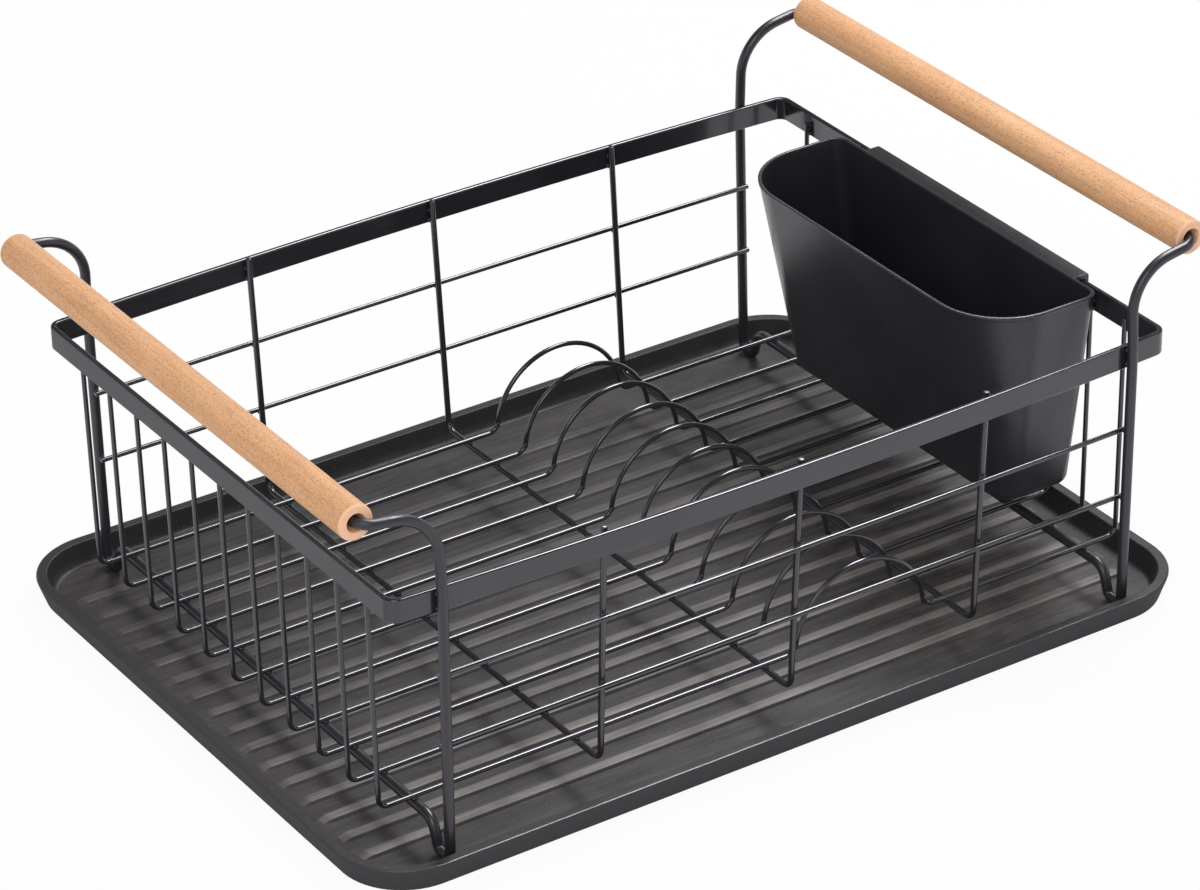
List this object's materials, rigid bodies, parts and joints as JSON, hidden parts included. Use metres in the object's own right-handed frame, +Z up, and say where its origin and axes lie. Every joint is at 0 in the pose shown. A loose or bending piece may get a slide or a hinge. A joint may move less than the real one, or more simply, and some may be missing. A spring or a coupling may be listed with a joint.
{
  "type": "dish drainer",
  "caption": "Wire dish drainer with plate arches, a flat steel rim, two wooden handles, a hanging cutlery holder and a ribbed drip tray.",
  "frame": {"origin": "centre of the bounding box on the surface that the tray stands on", "axes": "+X along the rack towards the end with the cutlery holder, +Y from front to back, +Z up"},
  "size_m": [0.4848, 0.3552, 0.2032],
  "materials": {
    "coated_steel": "black powder coat, satin",
    "tray_plastic": "black, fine matt",
    "holder_plastic": "black, satin matt",
    "beech": "pale beech, thin clear varnish"
  },
  "bodies": {
    "tray": {"drip_tray": "tray_plastic"},
    "basket": {"rim_band": "coated_steel", "floor_wire_01": "coated_steel", "floor_wire_02": "coated_steel", "floor_wire_03": "coated_steel", "floor_wire_04": "coated_steel", "floor_wire_05": "coated_steel", "floor_wire_06": "coated_steel", "floor_wire_07": "coated_steel", "floor_wire_08": "coated_steel", "floor_wire_09": "coated_steel", "floor_wire_10": "coated_steel", "floor_wire_11": "coated_steel", "cross_wire_left": "coated_steel", "cross_wire_middle": "coated_steel", "cross_wire_right": "coated_steel", "side_wire_front_lower": "coated_steel", "side_wire_front_upper": "coated_steel", "side_wire_rear_lower": "coated_steel", "side_wire_rear_upper": "coated_steel", "end_frame_left": "coated_steel", "end_frame_right": "coated_steel"},
    "holder": {"cutlery_holder": "holder_plastic"},
    "left_handle": {"handle_left": "beech"},
    "right_handle": {"handle_right": "beech"}
  },
  "joints": [
    {"name": "basket_lift", "type": "slide", "parent": "tray", "child": "basket", "axis": [0, 0, 1], "range_m": [0, 0.06]},
    {"name": "holder_lift", "type": "slide", "parent": "basket", "child": "holder", "axis": [0, 0, 1], "range_m": [0, 0.12]},
    {"name": "left_handle_turn", "type": "hinge", "parent": "basket", "child": "left_handle", "pos_m": [-0.2336, -0.0019, 0.1943], "axis": [0, 1, 0], "continuous": true},
    {"name": "right_handle_turn", "type": "hinge", "parent": "basket", "child": "right_handle", "pos_m": [0.2336, -0.0019, 0.1943], "axis": [0, 1, 0], "continuous": true}
  ]
}
